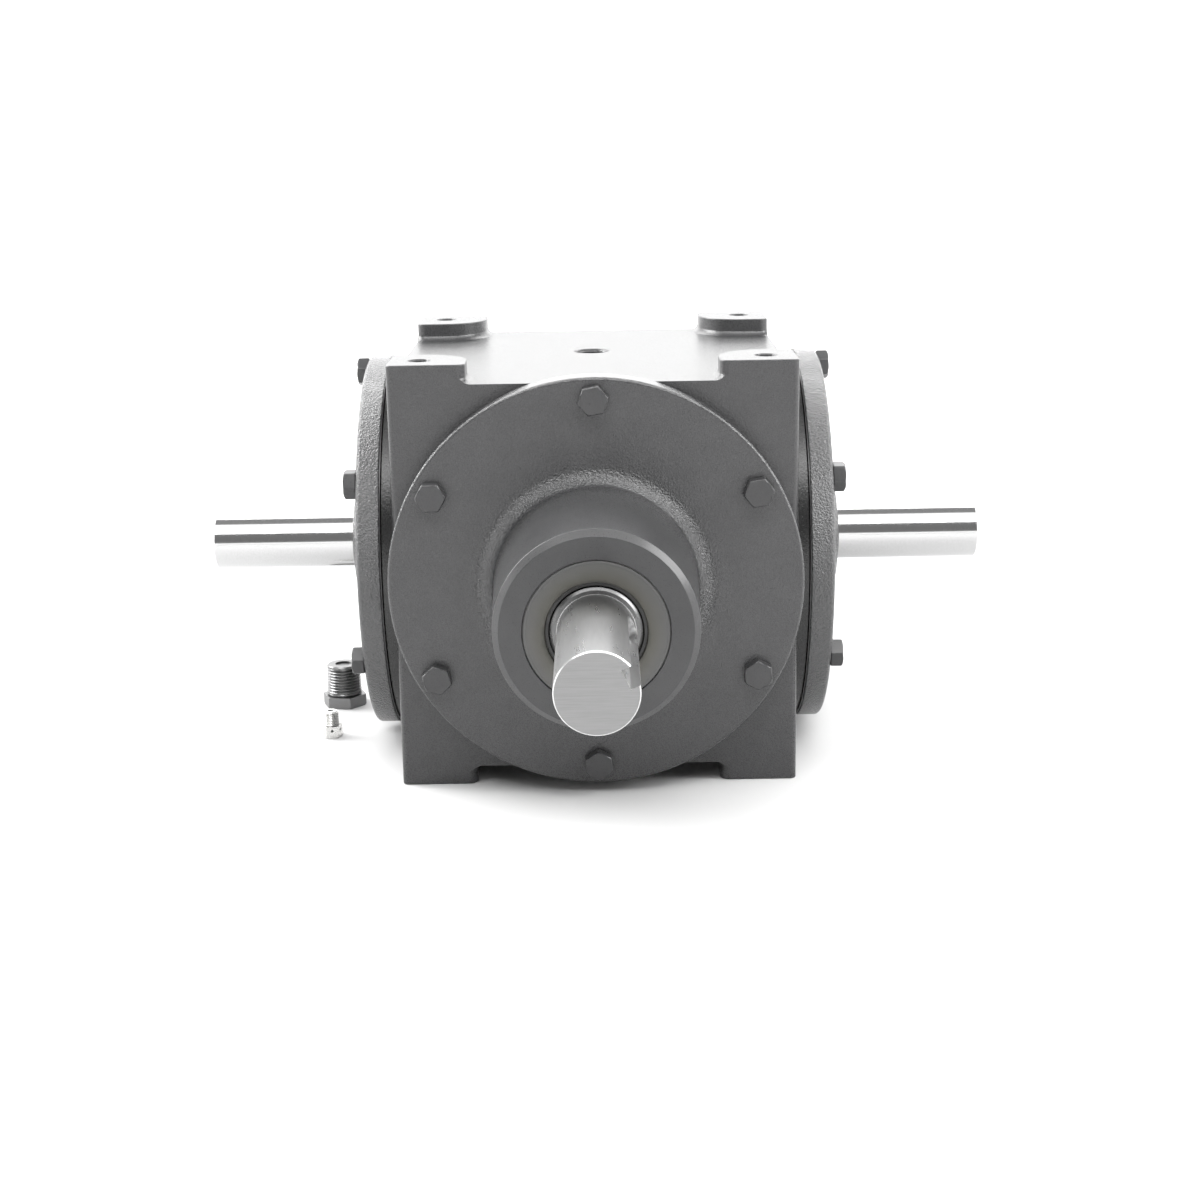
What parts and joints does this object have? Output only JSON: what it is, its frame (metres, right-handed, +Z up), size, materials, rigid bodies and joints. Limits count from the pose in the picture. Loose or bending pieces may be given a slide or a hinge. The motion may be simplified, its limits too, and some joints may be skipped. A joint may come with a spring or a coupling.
{
  "type": "gearbox",
  "caption": "Foot-mounted right-angle bevel gearbox: flanged keyed input shaft, through cross shaft, bolted round covers, with a loose reducer bushing and vent plug.",
  "frame": {"origin": "centre of the four foot holes, on the plane that the feet stand on", "axes": "+X along the cross shaft to its gear side, -Y along the input shaft to its free end, +Z up"},
  "size_m": [0.439, 0.44, 0.2286],
  "materials": {
    "casting_paint": "dark grey enamel over cast iron, satin, rough as cast with smooth machined faces",
    "painted_steel": "dark grey enamel over steel bolts and plugs, satin",
    "ground_steel": "ground and turned shaft steel",
    "seal_case": "oiled steel seal case with a black rubber lip",
    "alloy_steel": "hardened bearing and gear steel, oiled",
    "shim_metal": "thin shim stock",
    "black_steel": "machined dark steel pipe fitting",
    "zinc_plate": "bright zinc plate"
  },
  "bodies": {
    "root": {"housing": "casting_paint", "front_cap": "casting_paint", "left_cap": "casting_paint", "right_cap": "casting_paint", "front_shims": "shim_metal", "left_shims": "shim_metal", "right_shims": "shim_metal", "front_cap_bolts": "painted_steel", "left_cap_bolts": "painted_steel", "right_cap_bolts": "painted_steel", "input_seal": "seal_case", "left_seal": "seal_case", "right_seal": "seal_case", "drain_plug": "painted_steel", "level_plug": "painted_steel", "cup_retaining_ring": "alloy_steel", "input_front_cup": "alloy_steel", "input_rear_cup": "alloy_steel", "left_cup": "alloy_steel", "right_cup": "alloy_steel"},
    "input_line": {"input_shaft": "ground_steel", "pinion": "alloy_steel", "pinion_key": "alloy_steel", "pinion_washer": "alloy_steel", "pinion_screw": "alloy_steel", "input_front_cone": "alloy_steel", "input_rear_cone": "alloy_steel"},
    "cross_line": {"cross_shaft": "ground_steel", "bevel_gear": "alloy_steel", "gear_key": "alloy_steel", "gear_spacer": "alloy_steel", "left_cone": "alloy_steel", "right_cone": "alloy_steel"},
    "input_front_roller_set": {"input_front_rollers": "alloy_steel", "input_front_cage": "alloy_steel"},
    "input_rear_roller_set": {"input_rear_rollers": "alloy_steel", "input_rear_cage": "alloy_steel"},
    "left_roller_set": {"left_rollers": "alloy_steel", "left_cage": "alloy_steel"},
    "right_roller_set": {"right_rollers": "alloy_steel", "right_cage": "alloy_steel"},
    "bushing": {"bushing": "black_steel"},
    "vent_plug": {"vent_plug": "zinc_plate"}
  },
  "joints": [
    {"name": "cross_shaft_spin", "type": "hinge", "parent": "root", "child": "cross_line", "pos_m": [0, -0.013, 0.1143], "axis": [1, 0, 0], "continuous": true},
    {"name": "input_shaft_spin", "type": "hinge", "parent": "root", "child": "input_line", "pos_m": [0, -0.013, 0.1143], "axis": [0, 1, 0], "continuous": true},
    {"name": "input_front_rollers_spin", "type": "hinge", "parent": "root", "child": "input_front_roller_set", "pos_m": [0, -0.013, 0.1143], "axis": [0, 1, 0], "continuous": true},
    {"name": "input_rear_rollers_spin", "type": "hinge", "parent": "root", "child": "input_rear_roller_set", "pos_m": [0, -0.013, 0.1143], "axis": [0, 1, 0], "continuous": true},
    {"name": "left_rollers_spin", "type": "hinge", "parent": "root", "child": "left_roller_set", "pos_m": [0, -0.013, 0.1143], "axis": [1, 0, 0], "continuous": true},
    {"name": "right_rollers_spin", "type": "hinge", "parent": "root", "child": "right_roller_set", "pos_m": [0, -0.013, 0.1143], "axis": [1, 0, 0], "continuous": true},
    {"name": "bushing_lift", "type": "slide", "parent": "root", "child": "bushing", "axis": [0, 0, 1], "range_m": [0, 0.05]},
    {"name": "vent_plug_lift", "type": "slide", "parent": "root", "child": "vent_plug", "axis": [0, 0, 1], "range_m": [0, 0.05]}
  ],
  "couplings": [
    {"joint": "input_shaft_spin", "follows": "cross_shaft_spin", "ratio": 1},
    {"joint": "input_front_rollers_spin", "follows": "cross_shaft_spin", "ratio": 0.4479},
    {"joint": "input_rear_rollers_spin", "follows": "cross_shaft_spin", "ratio": 0.4479},
    {"joint": "left_rollers_spin", "follows": "cross_shaft_spin", "ratio": 0.4479},
    {"joint": "right_rollers_spin", "follows": "cross_shaft_spin", "ratio": 0.4479}
  ]
}
